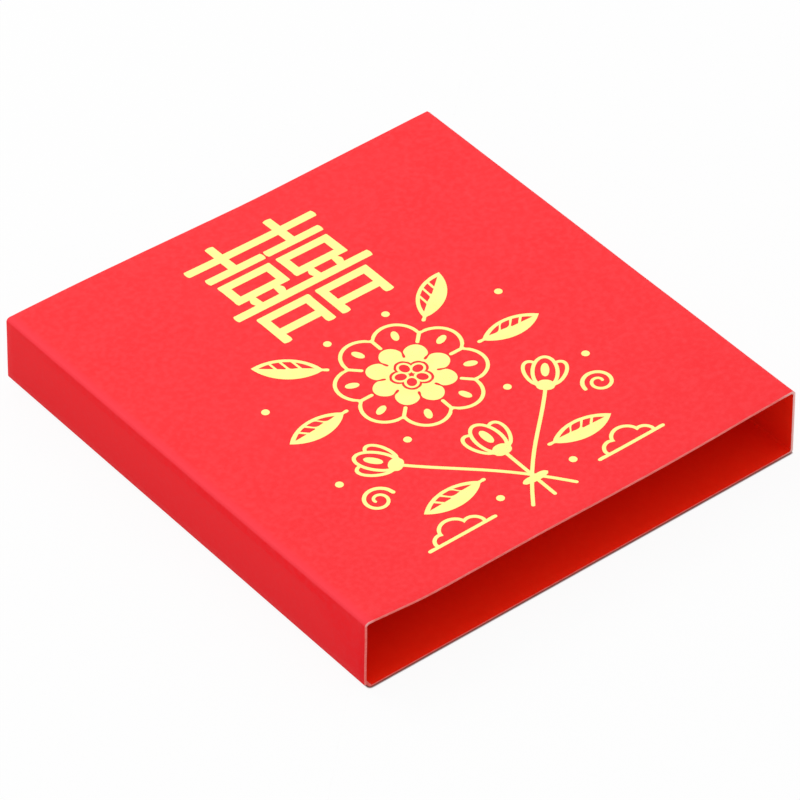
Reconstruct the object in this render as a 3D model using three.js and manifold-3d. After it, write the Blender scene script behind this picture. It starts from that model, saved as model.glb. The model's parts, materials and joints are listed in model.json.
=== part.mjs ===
// Gift-money sleeve: a flat, open-ended tube of folded card, closed by one glue flap,
// with a gold foil double-happiness ornament and a foil flower design on its top.
// X runs across the sleeve, Y from its near opening to the far one, Z up from the table.
// The origin is under the middle of the sleeve, on the table.

import * as THREE from 'three';
import { mergeVertices } from 'three/addons/utils/BufferGeometryUtils.js';
import Module from 'manifold-3d';

// Driving dimensions of the sleeve, in millimetres
const WIDTH = 100;
const LENGTH = 108;
const HEIGHT = 15.25;
const CARD = 0.5;
const FOLD_RADIUS = 0.8125;
const FOLD_STEPS = 6;

// Seam along the lower left edge: the flap stands inside the left wall, glued to it
const BOND_CLEARANCE = 0.0625;
const ADHESIVE = 0.0625;
const ADHESIVE_MARGIN = 1;
const WALL_TRIM = 0.875;
const FLAP_TOP_GAP = 3;
const FLAP_END_SLOPE = 1;
const FLAP_END_INSET = 1;

// Foil: its thickness, its pen widths and the steps of its round edges
const FOIL = 0.0625;
const LINE = 0.75;
const FINE_LINE = 0.5;
const ROUND_SEGMENT = 1.1;
const LEAST_ROUND_STEPS = 12;
const CURVE_STEPS = 12;
const CORNER_STEPS = 2;

// The foil art fills the panel from front to back margin, and lies a little to the left
const ART_LENGTH = 96;
const ART_FRONT_MARGIN = 6;
const ART_BACK_MARGIN = 6;
const ART_SHIFT = -1.375;

// Double happiness, stacked from its foot up; places are measured in the art
const HAPPY_FOOT = 63.4375;
const HALF_PITCH = 6.8125;
const STROKE = 1.9375;
const STROKE_CORNER = 0.25;
const BOX_GAP = 1.5;
const LEG = 2.0625;
const LOWER_BOX_HEIGHT = 6.6875;
const LONG_BAR_GAP = 1.40625;
const LONG_BAR_REACH = 15.75;
const TICK = { height: 2.03125, foot: [1.8125, 3.25], nub: 3.875, head: [2.1875, 3.1875] };
const UPPER_BOX_HEIGHT = 6.75;
const SECOND_BAR_RISE = 1.34375;
const SECOND_BAR_GAP = 0.5625;
const TOP_BAR_RISE = 2.4375;
const TOP_BAR_REACH = 15.0625;
const POST_RISE = 3.15625;

// Bloom: a petal's fullness is its width over the room that its ring gives it
const BLOOM_Y = 42;
const OUTER_PETALS = { count: 8, reach: 9.3, along: 5.1, fullness: 1.32 };
const MIDDLE_PETALS = { count: 8, reach: 5.6, along: 2.9, fullness: 1.12 };
const INNER_PETALS = { count: 5, reach: 2.1, along: 1.4, fullness: 0.97 };
const PETAL_BRIDGE = 0.6;
const PETAL_DROP = { along: 1.4, across: 0.75 };

// Leaves: a turn or lean is in degrees from straight up
const STALK = 0.6;
const LEAF_GAP = 0.7;
const UPPER_LEAF = { turn: 46.5, lean: 50, long: 13.5, wide: 5.6 };
const MIDDLE_LEAF = { turn: 92, lean: 93, long: 13, wide: 5.2 };
const LOWER_LEAF = { foot: [7.6, 11.4], lean: 92, long: 13.5, wide: 5.2 };
const LEAF_TIP_FILL = 0.75;
const VEIN_SHARES = [0.3, 0.48, 0.66];
const VEIN_RUN = 0.45;

// Stems and buds; a bud's back petals, cup and core are shares of its front petal
const STEM_FOOT = 0.5;
const SIDE_STEM_SPREAD = -5;
const SIDE_STEM_BENDS = [[3.5, 12.5], [9, 15.5]];
const SIDE_BUD = { at: [17, 24], lean: 38, along: 4.2, across: 2.3 };
const MIDDLE_BUD = { gap: 3.4, along: 4.4, across: 2.5 };
const BUD_BACK = { shift: 0.8, rise: 0.9, across: 0.8, along: 0.85, lean: 24 };
const BUD_CUP = { rise: 0.14, across: 0.8, along: 0.35 };
const BUD_CORE = { rise: 1.15, across: 0.35, along: 0.45 };
const STEM_TIE = { y: 6, across: 2.9, along: 0.95 };

// Tendrils, clouds and pearls beside the flowers
const TENDRIL = { centre: [25.6, 19], radius: 3.3, turns: 1.5, wound: 0.78, thick: 1.1, taper: 0.3 };
const CLOUD = { centre: [19.5, 2.5], reach: 7.4 };
const CLOUD_PUFFS = [[-3.1, 0.6, 2.2], [0.4, 1.7, 2.9], [3.6, 0.5, 1.9]];
const PEARL = 0.8;
const UPPER_PEARL = { turn: 22.5, gap: 2.2 };
const SIDE_PEARL = { turn: 139.5, gap: 2.3 };
const FREE_PEARLS = [[27.2, 50.4], [8.4, 5.6], [28.6, 26.6]];

const CARD_RED = 0xe8282f;
const GOLD = 0xe9cf7a;
const GLUE_TINT = 0xe9dfc8;

const wasm = await Module();
wasm.setup();

const materials = {
  card: new THREE.MeshStandardMaterial({ color: CARD_RED, roughness: 0.55, metalness: 0 }),
  foil: new THREE.MeshStandardMaterial({ color: GOLD, roughness: 0.3, metalness: 1 }),
  glue: new THREE.MeshStandardMaterial({ color: GLUE_TINT, roughness: 0.4, metalness: 0 }),
};

const sleeve = new THREE.Group();
sleeve.position.set(-WIDTH / 2, -LENGTH / 2, 0);

function addPiece(name, geometry, material) {
  const mesh = new THREE.Mesh(geometry, material);
  mesh.name = name;
  sleeve.add(mesh);
}

// A closed geometry as a solid for joining and cutting
function toSolid(geometry) {
  const plain = geometry.clone();
  plain.deleteAttribute('normal');
  plain.deleteAttribute('uv');
  const merged = mergeVertices(plain);
  return new wasm.Manifold(new wasm.Mesh({
    numProp: 3,
    vertProperties: merged.attributes.position.array,
    triVerts: new Uint32Array(merged.index.array),
  }));
}

function toGeometry(solid) {
  const mesh = solid.getMesh();
  const geometry = new THREE.BufferGeometry();
  geometry.setAttribute('position', new THREE.BufferAttribute(mesh.vertProperties, 3));
  geometry.setIndex(new THREE.BufferAttribute(mesh.triVerts, 1));
  geometry.computeVertexNormals();
  return geometry;
}

function joinAll(solids) {
  return solids.reduce((whole, next) => whole.add(next));
}

// A box between two corners
function boxBetween([x0, y0, z0], [x1, y1, z1]) {
  const geometry = new THREE.BoxGeometry(x1 - x0, y1 - y0, z1 - z0);
  geometry.translate((x0 + x1) / 2, (y0 + y1) / 2, (z0 + z1) / 2);
  return geometry;
}

// An outline in X and Z, run along the whole length of the sleeve
function alongSleeve(points) {
  const outline = new THREE.Shape(points.map(([x, z]) => new THREE.Vector2(x, -z)));
  const geometry = new THREE.ExtrudeGeometry(outline, { depth: LENGTH, bevelEnabled: false });
  geometry.rotateX(-Math.PI / 2);
  return geometry;
}

// A quarter ring of folded card about (x, z), from startAngle on
function foldRing(x, z, startAngle) {
  const arc = (radius) => Array.from({ length: FOLD_STEPS + 1 }, (_, i) => {
    const angle = startAngle + (Math.PI / 2) * (i / FOLD_STEPS);
    return [x + radius * Math.cos(angle), z + radius * Math.sin(angle)];
  });
  return alongSleeve([...arc(FOLD_RADIUS), ...arc(FOLD_RADIUS - CARD).reverse()]);
}

// A flat piece standing on edge in the YZ plane, from x0 to x1, whose sloping ends
// start at inset from the sleeve's two openings
function standingTrapezium(x0, x1, zLow, zHigh, inset) {
  const run = (zHigh - zLow) * FLAP_END_SLOPE;
  const outline = new THREE.Shape([
    new THREE.Vector2(inset, zLow),
    new THREE.Vector2(LENGTH - inset, zLow),
    new THREE.Vector2(LENGTH - inset - run, zHigh),
    new THREE.Vector2(inset + run, zHigh),
  ]);
  const geometry = new THREE.ExtrudeGeometry(outline, { depth: x1 - x0, bevelEnabled: false });
  geometry.rotateX(Math.PI / 2);
  geometry.rotateZ(Math.PI / 2);
  geometry.translate(x0, 0, 0);
  return geometry;
}

// Card panels and their folds
const wallTop = HEIGHT - FOLD_RADIUS;
const rightFoldX = WIDTH - FOLD_RADIUS;
const flapOuter = CARD + BOND_CLEARANCE + ADHESIVE;
const flapFoldX = flapOuter + FOLD_RADIUS;

function addPanel(name, from, to) {
  addPiece(name, boxBetween(from, to), materials.card);
}

function addFold(name, x, z, startAngle) {
  addPiece(name, foldRing(x, z, startAngle), materials.card);
}

function addCard() {
  addPanel('bottom_panel', [flapFoldX, 0, 0], [rightFoldX, LENGTH, CARD]);
  addPanel('right_wall', [WIDTH - CARD, 0, FOLD_RADIUS], [WIDTH, LENGTH, wallTop]);
  addPanel('top_panel', [FOLD_RADIUS, 0, HEIGHT - CARD], [rightFoldX, LENGTH, HEIGHT]);
  addPanel('left_wall', [0, 0, WALL_TRIM], [CARD, LENGTH, wallTop]);
  addFold('top_right_fold', rightFoldX, wallTop, 0);
  addFold('top_left_fold', FOLD_RADIUS, wallTop, Math.PI / 2);
  addFold('flap_fold', flapFoldX, FOLD_RADIUS, Math.PI);
  addFold('bottom_right_fold', rightFoldX, FOLD_RADIUS, -Math.PI / 2);
}

// The flap, cut back from both openings so that it doesn't show there, and the film
// of adhesive on its outer face, kept back from the flap's edges
function addSeam() {
  const flapTop = HEIGHT - FLAP_TOP_GAP;
  const flap = standingTrapezium(flapOuter, flapOuter + CARD, FOLD_RADIUS, flapTop, FLAP_END_INSET);
  addPiece('glue_flap', flap, materials.card);
  const low = FOLD_RADIUS + ADHESIVE_MARGIN;
  const high = flapTop - ADHESIVE_MARGIN;
  const inset = ADHESIVE_MARGIN * (FLAP_END_SLOPE + Math.hypot(1, FLAP_END_SLOPE));
  const filmInset = FLAP_END_INSET + inset;
  const film = standingTrapezium(flapOuter - ADHESIVE, flapOuter, low, high, filmInset);
  addPiece('seam_adhesive', film, materials.glue);
}

// A plate of foil with the given outline, one foil thickness deep
function foilPlate(points) {
  const outline = new THREE.Shape(points);
  return toSolid(new THREE.ExtrudeGeometry(outline, { depth: FOIL, bevelEnabled: false }));
}

// A plate as a cutter that passes right through the foil
function asCutter(plate) {
  return plate.scale([1, 1, 3]).translate([0, 0, -FOIL]);
}

// Art is drawn about the middle of its front edge, and fitted to the top panel here
function addFoil(name, solid) {
  const fit = (LENGTH - ART_FRONT_MARGIN - ART_BACK_MARGIN) / ART_LENGTH;
  const geometry = toGeometry(solid);
  geometry.scale(fit, fit, 1);
  geometry.translate(WIDTH / 2 + ART_SHIFT, ART_FRONT_MARGIN, HEIGHT);
  addPiece(name, geometry, materials.foil);
}

function bothSides(make) {
  return [-1, 1].map((side) => make(side));
}

function sideWord(side) {
  return side < 0 ? 'left' : 'right';
}

// A bar of foil with slightly rounded corners, from (x0, y0) to (x1, y1)
function bar(x0, y0, x1, y1) {
  const points = [];
  const centres = [
    [x1 - STROKE_CORNER, y1 - STROKE_CORNER],
    [x0 + STROKE_CORNER, y1 - STROKE_CORNER],
    [x0 + STROKE_CORNER, y0 + STROKE_CORNER],
    [x1 - STROKE_CORNER, y0 + STROKE_CORNER],
  ];
  centres.forEach(([x, y], quarter) => {
    for (let i = 0; i <= CORNER_STEPS; i += 1) {
      const angle = (Math.PI / 2) * (quarter + i / CORNER_STEPS);
      const corner = new THREE.Vector2(STROKE_CORNER, 0).rotateAround(new THREE.Vector2(), angle);
      points.push(corner.add(new THREE.Vector2(x, y)));
    }
  });
  return foilPlate(points);
}

// Double happiness: four islands, with each level standing on the one below it
const lowerBoxLow = HAPPY_FOOT + LEG;
const lowerBoxHigh = lowerBoxLow + LOWER_BOX_HEIGHT;
const longBarLow = lowerBoxHigh + LONG_BAR_GAP;
const tickLow = longBarLow + STROKE;
const upperBoxLow = tickLow + TICK.height;
const upperBoxHigh = upperBoxLow + UPPER_BOX_HEIGHT;
const secondBarLow = upperBoxHigh + SECOND_BAR_RISE;
const topBarLow = secondBarLow + STROKE + TOP_BAR_RISE;
const boxReach = HALF_PITCH - BOX_GAP / 2;

function addHappinessFoot(side) {
  const x = side * HALF_PITCH;
  const pieces = [
    bar(x - boxReach, lowerBoxHigh - STROKE, x + boxReach, lowerBoxHigh),
    bar(x - boxReach, lowerBoxLow, x + boxReach, lowerBoxLow + STROKE),
    bar(x - boxReach, HAPPY_FOOT, x - boxReach + STROKE, lowerBoxHigh),
    bar(x + boxReach - STROKE, HAPPY_FOOT, x + boxReach, lowerBoxHigh),
  ];
  addFoil(`happiness_${sideWord(side)}_foot`, joinAll(pieces));
}

// A short tick with a point on its outer side, run into the bars below and above it
function happinessTick(x, end) {
  const outline = [
    [TICK.foot[0], tickLow - STROKE / 2],
    [TICK.foot[1], tickLow - STROKE / 2],
    [TICK.nub, tickLow + TICK.height / 2],
    [TICK.head[1], upperBoxLow + STROKE / 2],
    [TICK.head[0], upperBoxLow + STROKE / 2],
  ];
  return foilPlate(outline.map(([across, y]) => new THREE.Vector2(x + end * across, y)));
}

function addHappinessMiddle() {
  const halves = bothSides((side) => {
    const x = side * HALF_PITCH;
    const ends = [x - boxReach, x + boxReach - STROKE];
    return [
      bar(x - boxReach, upperBoxLow, x + boxReach, upperBoxLow + STROKE),
      bar(x - boxReach, upperBoxHigh - STROKE, x + boxReach, upperBoxHigh),
      ...ends.map((low) => bar(low, upperBoxLow, low + STROKE, upperBoxHigh)),
      ...bothSides((end) => happinessTick(x, end)),
    ];
  }).flat();
  const longBar = bar(-LONG_BAR_REACH, longBarLow, LONG_BAR_REACH, longBarLow + STROKE);
  addFoil('happiness_middle', joinAll([longBar, ...halves]));
}

function addHappinessCrown() {
  const reach = HALF_PITCH - SECOND_BAR_GAP / 2;
  const halves = bothSides((side) => {
    const x = side * HALF_PITCH;
    return [
      bar(x - reach, secondBarLow, x + reach, secondBarLow + STROKE),
      bar(x - STROKE / 2, secondBarLow, x + STROKE / 2, topBarLow + STROKE + POST_RISE),
    ];
  }).flat();
  const topBar = bar(-TOP_BAR_REACH, topBarLow, TOP_BAR_REACH, topBarLow + STROKE);
  addFoil('happiness_crown', joinAll([topBar, ...halves]));
}

// Points around an ellipse, with no straight piece longer than about ROUND_SEGMENT
function ellipsePoints({ x, y, across, along, angle = 0 }, grow = 0) {
  const points = [];
  const perimeter = Math.PI * (across + along + 2 * grow);
  const steps = Math.max(LEAST_ROUND_STEPS, 4 * Math.ceil(perimeter / ROUND_SEGMENT / 4));
  for (let i = 0; i < steps; i += 1) {
    const turn = (2 * Math.PI * i) / steps;
    const point = new THREE.Vector2((across + grow) * Math.cos(turn), (along + grow) * Math.sin(turn));
    points.push(point.rotateAround(new THREE.Vector2(), angle).add(new THREE.Vector2(x, y)));
  }
  return points;
}

function ellipsePlate(ellipse, grow = 0) {
  return foilPlate(ellipsePoints(ellipse, grow));
}

function disc(x, y, radius) {
  return ellipsePlate({ x, y, across: radius, along: radius });
}

// The pen line along the common edge of several ellipses
function lineAround(ellipses, line = LINE) {
  const grown = ellipses.map((ellipse) => ellipsePlate(ellipse, line / 2));
  const shrunk = ellipses.map((ellipse) => ellipsePlate(ellipse, -line / 2));
  return joinAll(grown).subtract(asCutter(joinAll(shrunk)));
}

// A pen stroke along points, as wide as widthAt(t) says, with round ends
function penStroke(points, widthAt) {
  const last = points.length - 1;
  const left = [];
  const right = [];
  points.forEach((point, i) => {
    const ahead = points[Math.min(i + 1, last)];
    const behind = points[Math.max(i - 1, 0)];
    const side = ahead.clone().sub(behind).normalize().rotateAround(new THREE.Vector2(), Math.PI / 2);
    left.push(point.clone().addScaledVector(side, widthAt(i / last) / 2));
    right.push(point.clone().addScaledVector(side, -widthAt(i / last) / 2));
  });
  const ends = [0, last].map((i) => disc(points[i].x, points[i].y, widthAt(i / last) / 2));
  return joinAll([foilPlate([...right, ...left.reverse()]), ...ends]);
}

function straightStroke(from, to, width) {
  return penStroke([new THREE.Vector2(...from), new THREE.Vector2(...to)], () => width);
}

// A point of the art at a radius from the bloom's centre, turned clockwise from straight up
function bloomPoint(radius, turn) {
  return [radius * Math.sin(turn), BLOOM_Y + radius * Math.cos(turn)];
}

// Petals around the bloom, each an ellipse whose long axis points outwards
function petalRing({ count, reach, along, fullness }, phase) {
  const across = fullness * reach * Math.sin(Math.PI / count);
  return Array.from({ length: count }, (_, i) => {
    const turn = (2 * Math.PI * (i + phase)) / count;
    const [x, y] = bloomPoint(reach, turn);
    return { x, y, across, along, angle: -turn };
  });
}

// Radii that the bloom's rings and its neighbours keep clear of
const innerRoom = INNER_PETALS.reach + INNER_PETALS.along + LINE;
const middleEdge = MIDDLE_PETALS.reach + MIDDLE_PETALS.along;
const outerEdge = OUTER_PETALS.reach + OUTER_PETALS.along + LINE / 2;

function addOuterPetals() {
  const petals = petalRing(OUTER_PETALS, 0.5);
  const area = joinAll(petals.map((petal) => ellipsePlate(petal, LINE / 2)));
  const core = asCutter(disc(0, BLOOM_Y, middleEdge + LINE / 2));
  const seams = petals.map((petal, i) => {
    const turn = (2 * Math.PI * i) / OUTER_PETALS.count;
    return straightStroke(bloomPoint(middleEdge + LINE, turn), bloomPoint(outerEdge, turn), LINE);
  });
  const lines = lineAround(petals).subtract(core);
  addFoil('bloom_outer_petals', lines.add(joinAll(seams).intersect(area)));
}

// One drop in the hollow of each outer petal
function addPetalDrops() {
  const reach = (middleEdge + outerEdge - LINE) / 2;
  petalRing({ ...OUTER_PETALS, reach }, 0.5).forEach((petal, i) => {
    addFoil(`petal_drop_${i + 1}`, ellipsePlate({ ...petal, ...PETAL_DROP }));
  });
}

// Filled petals, slit apart from each other except for a bridge near the centre
function addMiddlePetals() {
  const petals = joinAll(petalRing(MIDDLE_PETALS, 0).map((petal) => ellipsePlate(petal)));
  const room = joinAll(petalRing(INNER_PETALS, 0).map((petal) => ellipsePlate(petal, LINE)));
  const slitStart = innerRoom + PETAL_BRIDGE + FINE_LINE / 2;
  const slits = Array.from({ length: MIDDLE_PETALS.count }, (_, i) => {
    const turn = (2 * Math.PI * (i + 0.5)) / MIDDLE_PETALS.count;
    return straightStroke(bloomPoint(slitStart, turn), bloomPoint(middleEdge + LINE, turn), FINE_LINE);
  });
  addFoil('bloom_middle_petals', petals.subtract(asCutter(joinAll([room, ...slits]))));
}

// Two arcs that meet in points, from the origin up to (0, long)
function leafSides(long, wide) {
  const half = wide / 2;
  const radius = (long * long / 4 + half * half) / wide;
  const spread = Math.asin(long / 2 / radius);
  const right = [];
  const left = [];
  for (let i = 0; i < CURVE_STEPS; i += 1) {
    const angle = spread * ((2 * i) / CURVE_STEPS - 1);
    const x = half - radius + radius * Math.cos(angle);
    const y = radius * Math.sin(angle);
    right.push(new THREE.Vector2(x, long / 2 + y));
    left.push(new THREE.Vector2(-x, long / 2 - y));
  }
  return { right, left };
}

// A leaf on its stalk: one half filled, the other open with veins
function addLeaf(name, { lean, long, wide }, [footX, footY], side) {
  const { right, left } = leafSides(long, wide);
  const whole = foilPlate([...right, ...left]);
  const trim = LEAF_TIP_FILL * LINE * (long / wide);
  const inside = leafSides(long - 2 * trim, wide - 2 * LINE);
  const hollow = asCutter(foilPlate([...inside.right, ...inside.left])).translate([0, trim, 0]);
  const filledHalf = foilPlate([...right, new THREE.Vector2(0, long)]);
  const veins = VEIN_SHARES.map((share) => {
    const start = share * long;
    return straightStroke([0, start], [-wide / 2, start + VEIN_RUN * wide], FINE_LINE);
  });
  const stalk = straightStroke([0, -STALK], [0, long / 2], LINE);
  const shape = joinAll([whole.subtract(hollow), filledHalf, stalk, joinAll(veins).intersect(whole)]);
  const turned = shape.translate([0, STALK, 0]).rotate([0, 0, -lean]).translate([footX, footY, 0]);
  addFoil(`${sideWord(side)}_${name}`, side < 0 ? turned.mirror([1, 0, 0]) : turned);
}

// A place beside the bloom, at a gap from its edge
function besideBloom(gap, turnDegrees) {
  return bloomPoint(outerEdge + gap, THREE.MathUtils.degToRad(turnDegrees));
}

function addLeaves() {
  bothSides((side) => {
    addLeaf('upper_leaf', UPPER_LEAF, besideBloom(LEAF_GAP, UPPER_LEAF.turn), side);
    addLeaf('middle_leaf', MIDDLE_LEAF, besideBloom(LEAF_GAP, MIDDLE_LEAF.turn), side);
    addLeaf('lower_leaf', LOWER_LEAF, LOWER_LEAF.foot, side);
  });
}

// A bud that opens at the end of its stem: one petal in front of two, and its core apart
function makeBud({ along, across }, lean, [x, y]) {
  const place = (solid) => solid.rotate([0, 0, -lean]).translate([x, y, 0]);
  const share = (part) => ({
    x: 0,
    y: part.rise * along,
    across: part.across * across,
    along: part.along * along,
  });
  const front = { x: 0, y: along, across, along };
  const back = bothSides((side) => ({
    ...share(BUD_BACK),
    x: side * BUD_BACK.shift * across,
    angle: -side * THREE.MathUtils.degToRad(BUD_BACK.lean),
  }));
  const behind = lineAround(back).subtract(asCutter(ellipsePlate(front)));
  const petals = joinAll([lineAround([front]), behind, ellipsePlate(share(BUD_CUP))]);
  return { petals: place(petals), core: place(ellipsePlate(share(BUD_CORE))) };
}

// Three stems tied together near their feet, with a bud on each
function addStems() {
  const budFoot = [0, BLOOM_Y - outerEdge - MIDDLE_BUD.gap - 2 * MIDDLE_BUD.along];
  const middle = makeBud(MIDDLE_BUD, 0, budFoot);
  addFoil('middle_bud_core', middle.core);
  const sides = bothSides((side) => {
    const mirrored = ([x, y]) => [side * x, y];
    const bud = makeBud(SIDE_BUD, side * SIDE_BUD.lean, mirrored(SIDE_BUD.at));
    addFoil(`${sideWord(side)}_bud_core`, bud.core);
    const route = [[SIDE_STEM_SPREAD, STEM_FOOT], ...SIDE_STEM_BENDS, SIDE_BUD.at];
    const curve = new THREE.CubicBezierCurve(...route.map((point) => new THREE.Vector2(...mirrored(point))));
    return [bud.petals, penStroke(curve.getPoints(CURVE_STEPS), () => LINE)];
  }).flat();
  const middleStem = straightStroke([0, STEM_FOOT], budFoot, LINE);
  const tie = ellipsePlate({ x: 0, ...STEM_TIE });
  addFoil('stems_and_buds', joinAll([middle.petals, middleStem, tie, ...sides]));
}

// A spiral that winds in towards its centre and gets thinner
function addTendril(side) {
  const { centre, radius, turns, wound, thick, taper } = TENDRIL;
  const steps = 2 * CURVE_STEPS;
  const points = Array.from({ length: steps + 1 }, (_, i) => {
    const turn = Math.PI + 2 * Math.PI * turns * (i / steps);
    const reach = radius * (1 - wound * (i / steps));
    const across = centre[0] + reach * Math.cos(turn);
    return new THREE.Vector2(side * across, centre[1] - reach * Math.sin(turn));
  });
  addFoil(`${sideWord(side)}_tendril`, penStroke(points, (t) => LINE * (thick - taper * t)));
}

// A flat-based cloud: the line around its puffs, on a longer base line
function addCloud(side) {
  const { centre, reach } = CLOUD;
  const rounds = CLOUD_PUFFS.map(([x, y, radius]) => ({ x: side * x, y, across: radius, along: radius }));
  const corners = [[-reach, -reach], [reach, -reach], [reach, 0], [-reach, 0]];
  const below = asCutter(foilPlate(corners.map((corner) => new THREE.Vector2(...corner))));
  const base = straightStroke([-reach, 0], [reach, 0], LINE);
  const cloud = lineAround(rounds).subtract(below).add(base);
  addFoil(`${sideWord(side)}_cloud`, cloud.translate([side * centre[0], centre[1], 0]));
}

function addPearls() {
  const nearBloom = [UPPER_PEARL, SIDE_PEARL].map(({ turn, gap }) => besideBloom(gap + PEARL, turn));
  [...nearBloom, ...FREE_PEARLS].forEach(([x, y], i) => bothSides((side) => {
    addFoil(`${sideWord(side)}_pearl_${i + 1}`, disc(side * x, y, PEARL));
  }));
}

addCard();
addSeam();
bothSides(addHappinessFoot);
addHappinessMiddle();
addHappinessCrown();
addOuterPetals();
addPetalDrops();
addMiddlePetals();
addFoil('bloom_inner_petals', lineAround(petalRing(INNER_PETALS, 0), FINE_LINE));
addLeaves();
addStems();
bothSides(addTendril);
bothSides(addCloud);
addPearls();

export default sleeve;
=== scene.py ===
import json
import math

import bpy
from mathutils import Matrix, Vector, geometry, noise


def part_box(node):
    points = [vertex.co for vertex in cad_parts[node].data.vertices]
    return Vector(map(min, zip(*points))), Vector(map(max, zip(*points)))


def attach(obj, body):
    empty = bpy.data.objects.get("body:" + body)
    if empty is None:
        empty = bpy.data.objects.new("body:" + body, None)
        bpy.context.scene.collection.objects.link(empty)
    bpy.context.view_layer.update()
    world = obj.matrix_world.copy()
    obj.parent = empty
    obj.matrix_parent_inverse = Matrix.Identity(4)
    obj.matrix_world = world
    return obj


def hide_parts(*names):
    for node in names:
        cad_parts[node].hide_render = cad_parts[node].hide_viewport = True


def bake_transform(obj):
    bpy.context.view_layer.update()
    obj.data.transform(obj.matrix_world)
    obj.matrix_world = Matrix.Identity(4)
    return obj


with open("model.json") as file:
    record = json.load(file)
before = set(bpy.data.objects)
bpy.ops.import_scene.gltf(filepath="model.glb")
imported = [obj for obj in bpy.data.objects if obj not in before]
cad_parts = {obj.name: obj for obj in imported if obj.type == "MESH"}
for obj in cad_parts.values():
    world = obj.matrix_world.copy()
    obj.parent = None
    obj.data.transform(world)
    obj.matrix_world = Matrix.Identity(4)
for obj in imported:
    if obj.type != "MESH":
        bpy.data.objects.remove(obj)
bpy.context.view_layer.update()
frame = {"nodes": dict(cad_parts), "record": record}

MM = 0.001

# Boxes of the solids that the pieces stand for
top_low, top_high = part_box("top_panel")
left_low, left_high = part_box("left_wall")
right_low, right_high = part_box("right_wall")
base_low, base_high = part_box("bottom_panel")
flap_low, flap_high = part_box("glue_flap")
glue_low, glue_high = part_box("seam_adhesive")

# The card's middle surface
CARD = top_high.z - top_low.z
HALF_CARD = CARD / 2
HEIGHT = top_high.z
HALF_LENGTH = top_high.y
FOLD_RADIUS = HEIGHT - left_high.z - HALF_CARD
TOP_Z = top_high.z - HALF_CARD
BASE_Z = base_low.z + HALF_CARD
RIGHT_X = right_high.x - HALF_CARD
LEFT_X = left_low.x + HALF_CARD
FLAP_X = flap_low.x + HALF_CARD

# Painted highlight along the left fold, from its crest in over the top
HIGHLIGHT_START = top_low.x
HIGHLIGHT_END = top_low.x + 1.6 * MM

# How finely the card is divided
GRID = 2 * MM
FOLD_STEPS = 20
FOLD_MARGIN = 1.5 * MM
MARGIN_GRID = 0.75 * MM

# Shading, and how far a fold's outward side turns up before it counts as top, for the painted shade of the
# sides and the painted highlight on the left fold
CRISP_ANGLE = math.radians(35)
SIDE_SHADE_TURN = 0.9
HIGHLIGHT_TURN = 0.7

# Cut edges and creases, each step of a rim being an inset and a trim as shares of RIM
RIM = 0.07 * MM
RIM_STEPS = ((0.0, 1.0), (0.3, 0.3), (1.0, 0.0))
FRAY = 0.03 * MM
FRAY_LENGTH = 1.2 * MM
BEAD = 0.08 * MM
TIRED_FOLD = 0.15 * MM

# How the top sags: pairs of the share of the way across it and the sag in mm
FRONT_SAG = ((0, 0), (0.06, 0.47), (0.12, 0.92), (0.18, 1.06), (0.27, 0.98), (0.4, 0.84),
             (0.65, 0.92), (0.78, 0.72), (0.9, 0.28), (1, 0))
BACK_SAG = ((0, 0), (0.15, 0.02), (0.3, 0.27), (0.42, 0.6), (0.56, 0.8), (0.7, 0.6),
            (0.82, 0.27), (0.92, 0.08), (1, 0))
FRONT_SAG_REACH = 0.7
BACK_SAG_REACH = 0.25
SAG_LOW = 0.3 * HEIGHT
SAG_HIGH = 0.9 * HEIGHT

# How the left wall leans in: pairs of the share of the way along it and the lean in mm
LEFT_LEAN = ((0, 0.5), (0.3, 0.35), (0.6, 0.25), (1, 0.15))
LEAN_WIDTH = 20 * MM

# Waves of the card
WAVE = 0.04 * MM
WAVE_LENGTH = 14 * MM

# How far the two ends are cut askew
FAR_SKEW_LEFT = 0.75 * MM
FAR_SKEW_RIGHT = -0.45 * MM
FAR_SKEW_START = -10 * MM
NEAR_SKEW_LEFT = 0.35 * MM
NEAR_SKEW_RIGHT = -0.2 * MM

# Foil
FOIL_PROUD = 0.03 * MM
FOIL_DEPTH = 0.02 * MM
FOIL_BEVEL = 0.015 * MM
FOIL_GRID = 2.5 * MM

# How its outlines are traced and rounded
KEY_DIGITS = 4
SAME_POINT = 0.05 * MM
ROUND_REACH = 2 * MM
ROUND_SPACING = 0.25 * MM
CORNER_TURN = math.radians(50)
STRAIGHT_TURN = 0.01
WELD_REACH = 1e-5

# Grains of the materials to the metre, and the range that most of a noise's values lie in
INK_CLOUDS = 110
INK_MOTTLE = 900
CARD_TOOTH = 4200
CORE_FIBRES = 3000
CORE_PATCHES = 300
FOIL_PATCHES = 260
FOIL_TOOTH = 3800
GLUE_BEADS = 700
NOISE_RANGE = (0.35, 0.65)
WIDE_RANGE = (0.3, 0.7)
STAIN_RANGE = (0.35, 0.7)

# Depths of their relief
CARD_RELIEF = 0.02 * MM
CORE_RELIEF = 0.04 * MM
FOIL_RELIEF = 0.01 * MM
GLUE_RELIEF = 0.03 * MM

# Printed ink: share of the clouds, blotches in the painted shade at the foot of a side, and pale flecks
CLOUD_SHARE = 0.1
BLOTCHES = (-0.2, 0.25)
SIDE_FLECKS = 0.4
MOTTLE_FLECKS = (0.4, 0.75, 0.7)
GRAIN_FLECKS = (0.55, 0.8, 0.5)
SHEEN_DOWN = 0.05
SHEEN_UP = 0.06

# Cut edges: fibres, patches, height of the painted shade up from the table, and how far they are bleached
# at the right and lit by the painted highlight on the fold
FIBRE_STRETCH = (0.3, 0.3, 2.5)
PATCH_RANGE = (0.45, 0.8)
PATCH_SHARE = 0.5
EDGE_SHADE_LOW = 0.15 * MM
EDGE_SHADE_HIGH = 0.55 * MM
BLEACH_WIDTH = 4 * MM
BLEACH_RIGHT = 0.7
FOLD_HIGHLIGHT_SHARE = 0.45

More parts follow.
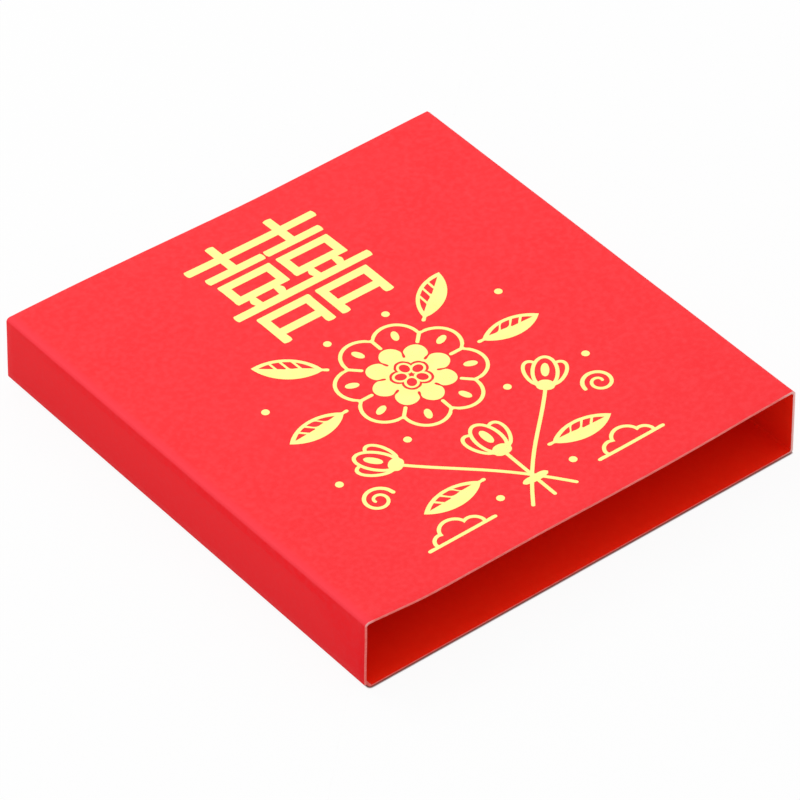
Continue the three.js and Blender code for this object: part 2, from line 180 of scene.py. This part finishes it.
# Roughness of the foil and of the glue, from their smoothest to their roughest places
FOIL_ROUGHNESS = (0.26, 0.4)
GLUE_ROUGHNESS = (0.2, 0.45)

# Camera
CAMERA_LENS = 266.443
CAMERA_AZIMUTH = math.radians(-37.2955)
CAMERA_ELEVATION = math.radians(40.6484)
CAMERA_LEAN = math.radians(1.2959)
CAMERA_PLACE = Vector((-503.526, -661.631, 717.944)) * MM
CAMERA_CLIP = (0.05, 50)

# Stage
FLOOR_REACH = 4.0
FLOOR_COLOUR = (0.86, 0.86, 0.86)
FLOOR_GLOW = 0.93
# painted contact shadow on the floor
CONTACT_SHADOW_REACH = 0.4 * MM
CONTACT_SHADOW_DEPTH = 4.0
CONTACT_SAMPLES = 16
CONTACT_SHADOW_COLOUR = (0.2, 0.03, 0.02)
SKY_LOW = 0.42
SKY_HIGH = 1.1
SOFTBOX_PLACE = (-0.14, 0.5, 0.6)
SOFTBOX_SIZE = 0.35
SOFTBOX_POWER = 1.25


def smooth(value, low, high):
    """0 below low, 1 above high and an even curve between them."""
    share = min(1.0, max(0.0, (value - low) / (high - low)))
    return share * share * (3 - 2 * share)


def curve_through(keys, place):
    """Height at a place of a smooth curve through keys, level at its two ends."""
    slopes = [0.0]
    for before, after in zip(keys, keys[2:]):
        slopes.append((after[1] - before[1]) / (after[0] - before[0]))
    slopes.append(0.0)
    for index in range(len(keys) - 1):
        (start, low), (end, high) = keys[index], keys[index + 1]
        if place <= end:
            break
    width = end - start
    t = min(1.0, max(0.0, (place - start) / width))
    rise = (3 - 2 * t) * t * t
    bend_in = t * (1 - t) ** 2 * slopes[index] * width
    bend_out = t * t * (t - 1) * slopes[index + 1] * width
    return low + (high - low) * rise + bend_in + bend_out


def end_reaches(node):
    """Half the length of a node at its foot and at its head."""
    low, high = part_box(node)
    points = [vertex.co for vertex in frame["nodes"][node].data.vertices]
    foot = max(point.y for point in points if point.z < low.z + HALF_CARD)
    head = max(point.y for point in points if point.z > high.z - HALF_CARD)
    return foot, head


def flap_edge(y):
    """Height of the flap's edge at a place along the sleeve, the card above it being single."""
    share = min(1.0, max(0.0, (flap_foot - abs(y)) / (flap_foot - flap_head)))
    return flap_low.z + (flap_high.z - flap_low.z) * share


def settle(point, outward):
    """Where a point of the flat-sided sleeve lies once the card has sagged, leant and waved a little."""
    x, y, z = point
    lift = smooth(z, SAG_LOW, SAG_HIGH)
    across = min(1.0, max(0.0, (x - top_low.x) / (top_high.x - top_low.x)))
    along = (y + HALF_LENGTH) / (2 * HALF_LENGTH)
    front = curve_through(FRONT_SAG, across) * (1 - smooth(along, 0, FRONT_SAG_REACH))
    back = curve_through(BACK_SAG, across) * smooth(along, 1 - BACK_SAG_REACH, 1)
    sag = (front + back) * MM
    lean = curve_through(LEFT_LEAN, along) * MM * (1 - smooth(x, top_low.x, top_low.x + LEAN_WIDTH))
    bared = smooth(z, flap_edge(y), HEIGHT)
    wave = WAVE * noise.noise(Vector(point) / WAVE_LENGTH)
    moved = Vector(point) + Vector((lean * bared, 0, -sag * lift))
    return moved + Vector((outward.x, 0, outward.y)) * wave * lift


def run(start, end, outward, spacing=GRID):
    """Stations along a straight stretch of the card's middle: place, outward side, bead and trim."""
    start, end = Vector(start), Vector(end)
    steps = max(1, round((end - start).length / spacing))
    return [(start.lerp(end, step / steps), Vector(outward), 0.0, 0.0) for step in range(steps + 1)]


def bend(centre, first, last, flattened=0.0):
    """Stations round a fold, with the bead that the creasing rule leaves inside it."""
    stations = []
    for step in range(FOLD_STEPS + 1):
        share = step / FOLD_STEPS
        angle = math.radians(first + (last - first) * share)
        outward = Vector((math.cos(angle), math.sin(angle)))
        crest = math.sin(math.pi * share) ** 2
        place = Vector(centre) + outward * (FOLD_RADIUS - flattened * crest)
        stations.append((place, outward, BEAD * crest, 0.0))
    return stations


def joined(*stretches):
    """One path of stations from stretches that meet end to end."""
    path = list(stretches[0])
    for stretch in stretches[1:]:
        path += stretch[1:]
    return path


def with_cut_end(path):
    """The same path with its last end rounded off as a cut edge."""
    place, outward, bead, _ = path[-1]
    inward = (path[-2][0] - place).normalized()
    ends = [(place + inward * RIM * inset, outward, bead, RIM * trim) for inset, trim in RIM_STEPS]
    return path[:-1] + ends[::-1]


def length_rows():
    """Rows from the near cut edge to the far one: share of the length, inset and trim."""
    near = [(-1.0, RIM * inset, RIM * trim) for inset, trim in RIM_STEPS]
    far = [(1.0, inset, trim) for _, inset, trim in near[::-1]]
    steps = round(2 * HALF_LENGTH / GRID)
    middle = [(2 * step / steps - 1, 0.0, 0.0) for step in range(1, steps)]
    return near + middle + far


def full_reach(place):
    return HALF_LENGTH


def flap_fold_reach(place):
    """Full length under the sleeve, and the flap's own length from its foot up."""
    own = flap_reach(place)
    return HALF_LENGTH + (own - HALF_LENGTH) * smooth(place.y, BASE_Z, flap_low.z)


def askew(place, share):
    """How far a cut that isn't quite square moves a place: share is -1 at the near end and 1 at the far."""
    low = 1 - place.y / HEIGHT
    if share > 0:
        left = FAR_SKEW_LEFT * (1 - smooth(place.x, FLAP_X, FAR_SKEW_START)) * low
        return share * (left + FAR_SKEW_RIGHT * smooth(place.x, FAR_SKEW_START, RIGHT_X))
    across = (place.x - FLAP_X) / (RIGHT_X - FLAP_X)
    near = NEAR_SKEW_LEFT + (NEAR_SKEW_RIGHT - NEAR_SKEW_LEFT) * across
    return share * near * smooth(place.x, LEFT_X, FLAP_X) * low


def sloped_reach(node):
    """Half the length of a node whose ends slope, as a function of the place on the path."""
    low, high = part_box(node)
    foot, head = end_reaches(node)

    def reach(place):
        share = min(1.0, max(0.0, (place.y - low.z) / (high.z - low.z)))
        return foot + (head - foot) * share

    return reach


def add_mesh(name, vertices, faces, face_slots, materials, point_values=None):
    """A mesh object from points and faces, shaded smooth with its edges kept crisp."""
    mesh = bpy.data.meshes.new(name)
    mesh.from_pydata(vertices, [], faces)
    for material in materials:
        mesh.materials.append(material)
    mesh.polygons.foreach_set("material_index", face_slots)
    mesh.polygons.foreach_set("use_smooth", [True] * len(faces))
    mesh.set_sharp_from_angle(angle=CRISP_ANGLE)
    for label, values in (point_values or {}).items():
        mesh.attributes.new(label, "FLOAT", "POINT").data.foreach_set("value", values)
    mesh.update()
    piece = bpy.data.objects.new(name, mesh)
    bpy.context.scene.collection.objects.link(piece)
    return piece


def card_piece(name, path, materials, thickness=CARD, reach=full_reach, cut_start=False, cut_end=False):
    """A closed strip of card swept along the sleeve: outer face, inner face, then its cut edges."""
    if cut_end:
        path = with_cut_end(path)
    if cut_start:
        path = with_cut_end(path[::-1])[::-1]
    rows = length_rows()
    wide = len(path)
    vertices, turned, fold_highlight = [], [], []
    for side in (1, -1):
        for share, inset, row_trim in rows:
            for place, outward, bead, trim in path:
                depth = thickness / 2 - min(max(trim, row_trim), thickness / 4)
                if side < 0:
                    depth += bead
                spot = place + outward * side * depth
                y = share * reach(place) + askew(place, share)
                if abs(share) == 1:
                    fray = FRAY * noise.noise(Vector((place.x, y, place.y)) / FRAY_LENGTH)
                    y -= math.copysign(inset + abs(fray), share)
                vertices.append(settle((spot.x, y, spot.y), outward))
                # painted shade: how far the card faces sideways or down, which gives it the deeper side
                # colour
                turned.append(1 - smooth(outward.y, 0, SIDE_SHADE_TURN))
                # painted highlight along the left fold, on the top near its crest
                fold_highlight.append(smooth(outward.y, 0, HIGHLIGHT_TURN) * (1 - smooth(place.x, HIGHLIGHT_START, HIGHLIGHT_END)))
    inner = len(rows) * wide
    last_row, last = len(rows) - 1, wide - 1
    rim = len(RIM_STEPS) - 1
    faces, slots = [], []
    for row in range(last_row):
        for station in range(last):
            a = row * wide + station
            b = a + wide
            on_rim = row < rim or row >= last_row - rim
            on_rim = on_rim or (cut_start and station < rim) or (cut_end and station >= last - rim)
            faces.append((a, b, b + 1, a + 1))
            faces.append((inner + a, inner + a + 1, inner + b + 1, inner + b))
            slots += [2, 2] if on_rim else [0, 1]
    for station in range(last):
        a, b = station, last_row * wide + station
        faces.append((a, a + 1, inner + a + 1, inner + a))
        faces.append((b + 1, b, inner + b, inner + b + 1))
        slots += [2, 2]
    for row in range(last_row):
        a = row * wide
        b = a + last
        faces.append((a, inner + a, inner + a + wide, a + wide))
        faces.append((b + wide, inner + b + wide, inner + b, b))
        slots += [2, 2]
    return add_mesh(name, vertices, faces, slots, materials, {"turned": turned, "fold_highlight": fold_highlight})


def add_node(tree, kind, inputs=(), **settings):
    """A shader node with its settings, and its inputs set or linked."""
    made = tree.nodes.new(kind)
    for name, value in settings.items():
        setattr(made, name, value)
    for socket, value in dict(inputs).items():
        if isinstance(value, bpy.types.NodeSocket):
            tree.links.new(value, made.inputs[socket])
        else:
            made.inputs[socket].default_value = value
    return made


def new_material(name):
    """An empty node material and its output node."""
    material = bpy.data.materials.new(name)
    material.use_nodes = True
    material.node_tree.nodes.clear()
    output = material.node_tree.nodes.new("ShaderNodeOutputMaterial")
    return material, material.node_tree, output


def noise_of(tree, where, scale, detail=3.0, stretch=(1, 1, 1)):
    """Noise between 0 and 1 whose grains are about 1/scale metres, longer where stretch is small."""
    mapped = add_node(tree, "ShaderNodeMapping", {"Vector": where, "Scale": stretch})
    inputs = {"Vector": mapped.outputs[0], "Scale": scale, "Detail": detail}
    return add_node(tree, "ShaderNodeTexNoise", inputs).outputs["Fac"]


def spread(tree, value, low, high, to_low=0.0, to_high=1.0):
    """A value's range from low to high taken to another range."""
    inputs = {"Value": value, "From Min": low, "From Max": high, "To Min": to_low, "To Max": to_high}
    return add_node(tree, "ShaderNodeMapRange", inputs).outputs[0]


def combined(tree, operation, first, second):
    return add_node(tree, "ShaderNodeMath", {0: first, 1: second}, operation=operation).outputs[0]


def blend_colours(tree, share, first, second):
    """One colour at share 0 and the other at share 1."""
    made = tree.nodes.new("ShaderNodeMix")
    made.data_type = "RGBA"
    tree.links.new(share, made.inputs[0])
    for socket, value in ((made.inputs[6], first), (made.inputs[7], second)):
        if isinstance(value, bpy.types.NodeSocket):
            tree.links.new(value, socket)
        else:
            socket.default_value = (*value, 1)
    return made.outputs[2]


def bumped(tree, height, strength, distance):
    inputs = {"Height": height, "Strength": strength, "Distance": distance}
    return add_node(tree, "ShaderNodeBump", inputs).outputs[0]


def paper(name, colour, turned, low, pale, fold_highlight, roughness, specular, tooth):
    """Printed card: mottled ink, with painted shade on the sides that deepens towards their feet, and a
    painted highlight along the left fold.
    """
    material, tree, output = new_material(name)
    where = tree.nodes.new("ShaderNodeTexCoord").outputs["Object"]
    cloud = noise_of(tree, where, INK_CLOUDS, 3)
    mottle = noise_of(tree, where, INK_MOTTLE, 4)
    grain = noise_of(tree, where, CARD_TOOTH, 5)
    side = add_node(tree, "ShaderNodeAttribute", attribute_name="turned").outputs["Fac"]
    highlit = add_node(tree, "ShaderNodeAttribute", attribute_name="fold_highlight").outputs["Fac"]
    height = add_node(tree, "ShaderNodeSeparateXYZ", {0: where}).outputs[2]
    # Painted shade: the sides darken towards their foot, in blotches, to the colour low
    blotch = spread(tree, mottle, *NOISE_RANGE, *BLOTCHES)
    depth = combined(tree, "ADD", spread(tree, height, 0, HEIGHT, 1, 0), blotch)
    fade = spread(tree, side, 0, 1, 1, SIDE_FLECKS)
    side_shade_and_clouds = combined(tree, "ADD", side, spread(tree, cloud, *NOISE_RANGE, 0, CLOUD_SHARE))
    # painted shade: the sides take the deeper colour turned, mixed with clouds of the print
    ink = blend_colours(tree, side_shade_and_clouds, colour, turned)
    ink = blend_colours(tree, combined(tree, "MULTIPLY", side, depth), ink, low)
    for texture, (start, end, share) in ((mottle, MOTTLE_FLECKS), (grain, GRAIN_FLECKS)):
        amount = combined(tree, "MULTIPLY", spread(tree, texture, start, end, 0, share), fade)
        ink = blend_colours(tree, amount, ink, pale)
    # painted highlight along the left fold
    ink = blend_colours(tree, highlit, ink, fold_highlight)
    sheen = spread(tree, mottle, *WIDE_RANGE, roughness - SHEEN_DOWN, roughness + SHEEN_UP)
    inputs = {
        "Base Color": ink,
        "Roughness": sheen,
        "Specular IOR Level": specular,
        "Normal": bumped(tree, grain, tooth, CARD_RELIEF),
    }
    shader = add_node(tree, "ShaderNodeBsdfPrincipled", inputs)
    tree.links.new(shader.outputs[0], output.inputs[0])
    return material


def card_core(name, colour, deep, edge_shade, bleach_and_highlight):
    """The cut edge of dyed card, with painted shade near the table, bleached at the right, and a painted
    highlight on the left fold's crest.
    """
    material, tree, output = new_material(name)
    where = tree.nodes.new("ShaderNodeTexCoord").outputs["Object"]
    fibres = noise_of(tree, where, CORE_FIBRES, 4, FIBRE_STRETCH)
    patches = noise_of(tree, where, CORE_PATCHES, 3)
    tint = blend_colours(tree, spread(tree, fibres, *WIDE_RANGE), deep, colour)
    tint = blend_colours(tree, spread(tree, patches, *PATCH_RANGE, 0, PATCH_SHARE), tint, deep)
    place = add_node(tree, "ShaderNodeSeparateXYZ", {0: where}).outputs
    at_right = spread(tree, place[0], right_low.x - BLEACH_WIDTH, right_high.x, 0, BLEACH_RIGHT)
    # painted highlight on the cut edge at the left fold's crest
    highlit = add_node(tree, "ShaderNodeAttribute", attribute_name="fold_highlight").outputs["Fac"]
    at_fold = combined(tree, "MULTIPLY", highlit, FOLD_HIGHLIGHT_SHARE)
    # paler: bleached fibres at the right, painted highlight at the left fold
    tint = blend_colours(tree, combined(tree, "MAXIMUM", at_right, at_fold), tint, bleach_and_highlight)
    # painted shade, darker near the table
    tint = blend_colours(tree, spread(tree, place[2], EDGE_SHADE_LOW, EDGE_SHADE_HIGH, 1, 0), tint, edge_shade)
    inputs = {
        "Base Color": tint,
        "Roughness": 0.85,
        "Specular IOR Level": 0.2,
        "Normal": bumped(tree, fibres, 0.5, CORE_RELIEF),
    }
    shader = add_node(tree, "ShaderNodeBsdfPrincipled", inputs)
    tree.links.new(shader.outputs[0], output.inputs[0])
    return material


def stamped_foil(name, colour, deep):
    """Hot-stamped foil: metal that takes on a little of the card's texture."""
    material, tree, output = new_material(name)
    where = tree.nodes.new("ShaderNodeTexCoord").outputs["Object"]
    patches = noise_of(tree, where, FOIL_PATCHES, 3)
    tooth = noise_of(tree, where, FOIL_TOOTH, 4)
    tint = blend_colours(tree, spread(tree, patches, *STAIN_RANGE), colour, deep)
    inputs = {
        "Base Color": tint,
        "Metallic": 1.0,
        "Roughness": spread(tree, tooth, *WIDE_RANGE, *FOIL_ROUGHNESS),
        "Normal": bumped(tree, tooth, 0.2, FOIL_RELIEF),
    }
    shader = add_node(tree, "ShaderNodeBsdfPrincipled", inputs)
    tree.links.new(shader.outputs[0], output.inputs[0])
    return material


def dried_glue(name, colour, deep):
    """A thin film of dried adhesive, milky where it is thick."""
    material, tree, output = new_material(name)
    where = tree.nodes.new("ShaderNodeTexCoord").outputs["Object"]
    beads = noise_of(tree, where, GLUE_BEADS, 3)
    inputs = {
        "Base Color": blend_colours(tree, spread(tree, beads, *STAIN_RANGE), deep, colour),
        "Roughness": spread(tree, beads, *WIDE_RANGE, *GLUE_ROUGHNESS),
        "Transmission Weight": 0.25,
        "Normal": bumped(tree, beads, 0.4, GLUE_RELIEF),
    }
    shader = add_node(tree, "ShaderNodeBsdfPrincipled", inputs)
    tree.links.new(shader.outputs[0], output.inputs[0])
    return material


def seen_by_eye(tree):
    """1 for camera, glossy and transmission rays, and 0 for the rest."""
    path = tree.nodes.new("ShaderNodeLightPath").outputs
    seen = path["Is Camera Ray"]
    for other in ("Is Glossy Ray", "Is Transmission Ray"):
        seen = combined(tree, "MAXIMUM", seen, path[other])
    return seen


outside = paper(
    "printed_card",
    colour=(0.99, 0.038, 0.046),
    # the deeper colour of the sides is painted shade
    turned=(0.94, 0.003, 0.01),
    # painted shade at the foot of the sides
    low=(0.85, 0.0, 0.006),
    pale=(0.995, 0.062, 0.074),
    # painted highlight along the left fold
    fold_highlight=(1.0, 0.049, 0.068),
    roughness=0.5,
    specular=0.08,
    tooth=0.25,
)
inside = paper(
    "card_inside",
    colour=(0.97, 0.022, 0.003),
    # the deeper colour of the sides is painted shade
    turned=(0.96, 0.018, 0.003),
    # painted shade at the foot of the sides
    low=(0.93, 0.017, 0.003),
    pale=(0.98, 0.035, 0.009),
    fold_highlight=(0.97, 0.022, 0.003),
    roughness=0.7,
    specular=0.06,
    tooth=0.4,
)
core = card_core(
    "card_core",
    colour=(0.97, 0.25, 0.23),
    deep=(0.88, 0.12, 0.1),
    # painted shade near the table
    edge_shade=(0.42, 0.08, 0.06),
    bleach_and_highlight=(0.97, 0.7, 0.66),
)
foil = stamped_foil("gold_foil", colour=(1.0, 1.0, 0.37), deep=(1.0, 0.97, 0.33))
glue = dried_glue("dried_glue", colour=(0.83, 0.75, 0.6), deep=(0.7, 0.6, 0.45))
card_faces = (outside, inside, core)

# Flat stretches of the card
top_start, top_end = top_high.x - FOLD_MARGIN, top_low.x + FOLD_MARGIN
base_start, base_end = base_low.x + FOLD_MARGIN, base_high.x - FOLD_MARGIN
right_start, right_end = right_low.z + FOLD_MARGIN, right_high.z - FOLD_MARGIN
flap_end = flap_low.z + FOLD_MARGIN
left_start = left_high.z - FOLD_MARGIN
flap_foot, flap_head = end_reaches("glue_flap")
flap_reach = sloped_reach("glue_flap")

top_path = run((top_start, TOP_Z), (top_end, TOP_Z), (0, 1))
card_top = card_piece("card_top", top_path, card_faces)
base_path = run((base_start, BASE_Z), (base_end, BASE_Z), (0, -1))
card_base = card_piece("card_base", base_path, card_faces)
right_path = run((RIGHT_X, right_start), (RIGHT_X, right_end), (1, 0))
card_right = card_piece("card_right_wall", right_path, card_faces)
left_path = run((LEFT_X, left_start), (LEFT_X, left_low.z), (-1, 0))
card_left = card_piece("card_left_wall", left_path, card_faces, cut_end=True)
flap_path = run((FLAP_X, flap_high.z), (FLAP_X, flap_end), (-1, 0))
card_flap = card_piece("card_glue_flap", flap_path, card_faces, reach=flap_reach, cut_start=True)

glue_x = (glue_low.x + glue_high.x) / 2
glue_path = run((glue_x, glue_high.z), (glue_x, glue_low.z), (-1, 0))
film = card_piece("glue_film", glue_path, (glue, glue, glue), thickness=glue_high.x - glue_low.x,
                  reach=sloped_reach("seam_adhesive"), cut_start=True, cut_end=True)

for piece, body, node, slot in (
    (card_top, "top", "top_panel", "card"),
    (card_base, "base", "bottom_panel", "card"),
    (card_right, "right_side", "right_wall", "card"),
    (card_left, "left_side", "left_wall", "card"),
    (card_flap, "flap", "glue_flap", "card"),
    (film, "flap", "seam_adhesive", "adhesive"),
):
    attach(piece, body)
    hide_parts(node)

# Creases, each with a little of the flat card on both sides
top_right_corner = Vector((top_high.x, right_high.z))
top_left_corner = Vector((top_low.x, left_high.z))
base_right_corner = Vector((base_high.x, right_low.z))
flap_corner = Vector((base_low.x, flap_low.z))


def crease(name, node, corner, first, margins, reach=full_reach, flattened=0.0):
    """A folded stretch of card at the joint between two bodies."""
    fold = bend(corner, first, first + 90, flattened)
    before, after = margins
    lead = run(before, fold[0][0], fold[0][1], MARGIN_GRID)
    tail = run(fold[-1][0], after, fold[-1][1], MARGIN_GRID)
    piece = card_piece(name, joined(lead, fold, tail), card_faces, reach=reach)
    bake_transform(piece)
    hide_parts(node)


crease("crease_base_right", "bottom_right_fold", base_right_corner, -90,
       ((base_end, BASE_Z), (RIGHT_X, right_start)))
crease("crease_top_right", "top_right_fold", top_right_corner, 0,
       ((RIGHT_X, right_end), (top_start, TOP_Z)), flattened=TIRED_FOLD)
crease("crease_top_left", "top_left_fold", top_left_corner, 90,
       ((top_end, TOP_Z), (LEFT_X, left_start)))
crease("crease_flap", "flap_fold", flap_corner, 180,
       ((FLAP_X, flap_end), (base_start, BASE_Z)), flap_fold_reach)


def outlines(node):
    """The outlines of a foil solid's upper face in mm, outer ones to the left and holes to the right."""
    mesh = frame["nodes"][node].data
    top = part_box(node)[1].z
    edges = set()
    for polygon in mesh.polygons:
        corners = [mesh.vertices[index].co for index in polygon.vertices]
        if min(corner.z for corner in corners) > top - FOIL_DEPTH:
            places = [(corner.x / MM, corner.y / MM) for corner in corners]
            keys = [(round(x, KEY_DIGITS), round(y, KEY_DIGITS)) for x, y in places]
            if len(set(keys)) == len(keys):
                edges.update(zip(keys, keys[1:] + keys[:1]))
    border = {}
    for start, end in sorted(edges):
        if (end, start) not in edges:
            border.setdefault(start, []).append(end)
    loops = []
    while border:
        first = min(border)
        loop, last, point = [Vector(first)], first, border[first].pop()
        while point != first:
            if (Vector(point) - loop[-1]).length > SAME_POINT / MM:
                loop.append(Vector(point))
            way = Vector(point) - Vector(last)
            ends = border[point]
            ends.sort(key=lambda end: way.angle_signed(Vector(end) - Vector(point)))
            last, point = point, ends.pop(0)
        border = {start: ends for start, ends in border.items() if ends}
        loops.append(loop)
    return loops


def rounded(loop):
    """An outline with its faceted rounds turned into curves, and its corners and straights kept."""
    count = len(loop)
    sides = [loop[(index + 1) % count] - loop[index] for index in range(count)]
    leaving, arriving = [], []
    for index in range(count):
        before, after = sides[index - 1], sides[index]
        long_before, long_after = before.length > ROUND_REACH / MM, after.length > ROUND_REACH / MM
        if before.angle(after) > CORNER_TURN or (long_before and long_after):
            arriving.append(before.normalized())
            leaving.append(after.normalized())
            continue
        if long_before or long_after:
            way = (before if long_before else after).normalized()
        else:
            way = (before.normalized() * after.length + after.normalized() * before.length).normalized()
        arriving.append(way)
        leaving.append(way)
    points = []
    for index in range(count):
        start, side = loop[index], sides[index]
        end = loop[(index + 1) % count]
        way_out, way_in = leaving[index] * side.length, arriving[(index + 1) % count] * side.length
        straight = side.angle(way_out) < STRAIGHT_TURN and side.angle(way_in) < STRAIGHT_TURN
        spacing = FOIL_GRID if straight else ROUND_SPACING
        steps = max(1, math.ceil(side.length * MM / spacing))
        for step in range(steps):
            t = step / steps
            near = start * (2 * t ** 3 - 3 * t * t + 1) + end * (3 * t * t - 2 * t ** 3)
            points.append(near + way_out * (t ** 3 - 2 * t * t + t) + way_in * (t ** 3 - t * t))
    return points


def is_inside(point, loops):
    """Whether a point is in the filled part between outlines."""
    crossings = 0
    for loop in loops:
        for first, second in zip(loop, loop[1:] + loop[:1]):
            if (first.y > point.y) != (second.y > point.y):
                reach = first.x + (point.y - first.y) * (second.x - first.x) / (second.y - first.y)
                crossings += reach > point.x
    return crossings % 2 == 1


def filled(loops):
    """Points and triangles that fill outlines, with points of an even grid inside."""
    points = [point for loop in loops for point in loop]
    edges, base = [], 0
    for loop in loops:
        edges += [(base + index, base + (index + 1) % len(loop)) for index in range(len(loop))]
        base += len(loop)
    grid = FOIL_GRID / MM
    columns = range(math.floor(min(p.x for p in points) / grid), math.ceil(max(p.x for p in points) / grid))
    rows = range(math.floor(min(p.y for p in points) / grid), math.ceil(max(p.y for p in points) / grid))
    for column in columns:
        for row in rows:
            spot = Vector((column * grid, row * grid))
            clear = min((spot - point).length for point in points) > grid / 4
            if clear and is_inside(spot, loops):
                points.append(spot)
    flat, _, triangles, *_ = geometry.delaunay_2d_cdt(points, edges, [], 1, WELD_REACH)
    kept = []
    for triangle in triangles:
        middle = sum((flat[index] for index in triangle), Vector((0, 0))) / 3
        if is_inside(middle, loops):
            kept.append(tuple(triangle))
    return flat, kept


def foil_piece(node):
    """A closed sheet of foil on the sagging top, with its edge softened."""
    flat, triangles = filled([rounded(loop) for loop in outlines(node)])
    edges = {pair for a, b, c in triangles for pair in ((a, b), (b, c), (c, a))}
    border = sorted((a, b) for a, b in edges if (b, a) not in edges)
    outward = {}
    for a, b in border:
        side = (flat[b] - flat[a]).normalized()
        for index in (a, b):
            outward[index] = outward.get(index, Vector((0, 0))) + Vector((side.y, -side.x))
    used = sorted({index for triangle in triangles for index in triangle})
    upper, rim, lower, vertices = {}, {}, {}, []

    def add_point(spot, height):
        vertices.append(settle((spot.x * MM, spot.y * MM, HEIGHT), Vector((0, 1))) + Vector((0, 0, height)))
        return len(vertices) - 1

    for index in used:
        spot = flat[index]
        inset = outward[index].normalized() * FOIL_BEVEL / MM if index in outward else Vector((0, 0))
        upper[index] = add_point(spot - inset, FOIL_PROUD)
        lower[index] = add_point(spot, -FOIL_DEPTH)
        if index in outward:
            rim[index] = add_point(spot, FOIL_PROUD - FOIL_BEVEL)
    faces = [(upper[a], upper[b], upper[c]) for a, b, c in triangles]
    faces += [(lower[c], lower[b], lower[a]) for a, b, c in triangles]
    faces += [(upper[b], upper[a], rim[a], rim[b]) for a, b in border]
    faces += [(rim[b], rim[a], lower[a], lower[b]) for a, b in border]
    piece = add_mesh("foil_" + node, vertices, faces, [0] * len(faces), (foil,))
    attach(piece, "top")
    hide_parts(node)


for subpart in frame["record"]["subparts"]:
    if subpart["material_slot"] == "foil":
        foil_piece(subpart["node"])

# Floor
floor_mesh = bpy.data.meshes.new("floor")
corners = [(x * FLOOR_REACH, y * FLOOR_REACH, 0) for x, y in ((-1, -1), (1, -1), (1, 1), (-1, 1))]
floor_mesh.from_pydata(corners, [], [(0, 1, 2, 3)])
floor = bpy.data.objects.new("floor", floor_mesh)
bpy.context.scene.collection.objects.link(floor)
floor_paint, tree, output = new_material("pale_floor")
floor_mesh.materials.append(floor_paint)
# Painted contact shadow: where the card is near, the floor turns dark reddish and loses its glow
gap_inputs = {"Distance": CONTACT_SHADOW_REACH}
gap = add_node(tree, "ShaderNodeAmbientOcclusion", gap_inputs, samples=CONTACT_SAMPLES)
open_sky = combined(tree, "POWER", gap.outputs["AO"], CONTACT_SHADOW_DEPTH)
bright = combined(tree, "MULTIPLY", seen_by_eye(tree), open_sky)
bright = combined(tree, "MULTIPLY", bright, FLOOR_GLOW)
shade = blend_colours(tree, open_sky, CONTACT_SHADOW_COLOUR, FLOOR_COLOUR)
matte = add_node(tree, "ShaderNodeBsdfDiffuse", {"Color": shade})
white = add_node(tree, "ShaderNodeEmission", {"Color": (1, 1, 1, 1), "Strength": 1.0})
mixed = add_node(tree, "ShaderNodeMixShader", {0: bright, 1: matte.outputs[0], 2: white.outputs[0]})
tree.links.new(mixed.outputs[0], output.inputs[0])

# Sky, brighter overhead, and white to the eye
world = bpy.data.worlds.new("studio")
bpy.context.scene.world = world
world.use_nodes = True
tree = world.node_tree
tree.nodes.clear()
direction = tree.nodes.new("ShaderNodeTexCoord").outputs["Generated"]
height = add_node(tree, "ShaderNodeSeparateXYZ", {0: direction}).outputs[2]
level = spread(tree, height, 0, 1, SKY_LOW, SKY_HIGH)
dome = add_node(tree, "ShaderNodeBackground", {"Strength": level})
plain = add_node(tree, "ShaderNodeBackground", {"Strength": 1.0})
sky = add_node(tree, "ShaderNodeMixShader", {0: seen_by_eye(tree), 1: dome.outputs[0], 2: plain.outputs[0]})
output = add_node(tree, "ShaderNodeOutputWorld", {0: sky.outputs[0]})
for background in (dome, plain):
    background.inputs["Color"].default_value = (1, 1, 1, 1)

# A square soft light that looks at the sleeve
lamp = bpy.data.lights.new("softbox", "AREA")
lamp.size = SOFTBOX_SIZE
lamp.energy = SOFTBOX_POWER
holder = bpy.data.objects.new("softbox", lamp)
holder.location = SOFTBOX_PLACE
holder.rotation_euler = (-Vector(SOFTBOX_PLACE)).to_track_quat("-Z", "Y").to_euler()
bpy.context.scene.collection.objects.link(holder)

# Camera
level_right = Vector((math.cos(CAMERA_AZIMUTH), math.sin(CAMERA_AZIMUTH), 0))
flat_reach = math.cos(CAMERA_ELEVATION)
back = Vector((level_right.y * flat_reach, -level_right.x * flat_reach, math.sin(CAMERA_ELEVATION)))
level_up = back.cross(level_right)
up = level_up * math.cos(CAMERA_LEAN) + level_right * math.sin(CAMERA_LEAN)
right = up.cross(back)
camera_data = bpy.data.cameras.new("camera")
camera_data.lens = CAMERA_LENS
camera_data.clip_start, camera_data.clip_end = CAMERA_CLIP
camera = bpy.data.objects.new("camera", camera_data)
camera.matrix_world = Matrix.Translation(CAMERA_PLACE) @ Matrix((right, up, back)).transposed().to_4x4()
bpy.context.scene.collection.objects.link(camera)
bpy.context.scene.camera = camera
bpy.context.scene.view_settings.view_transform = "Standard"
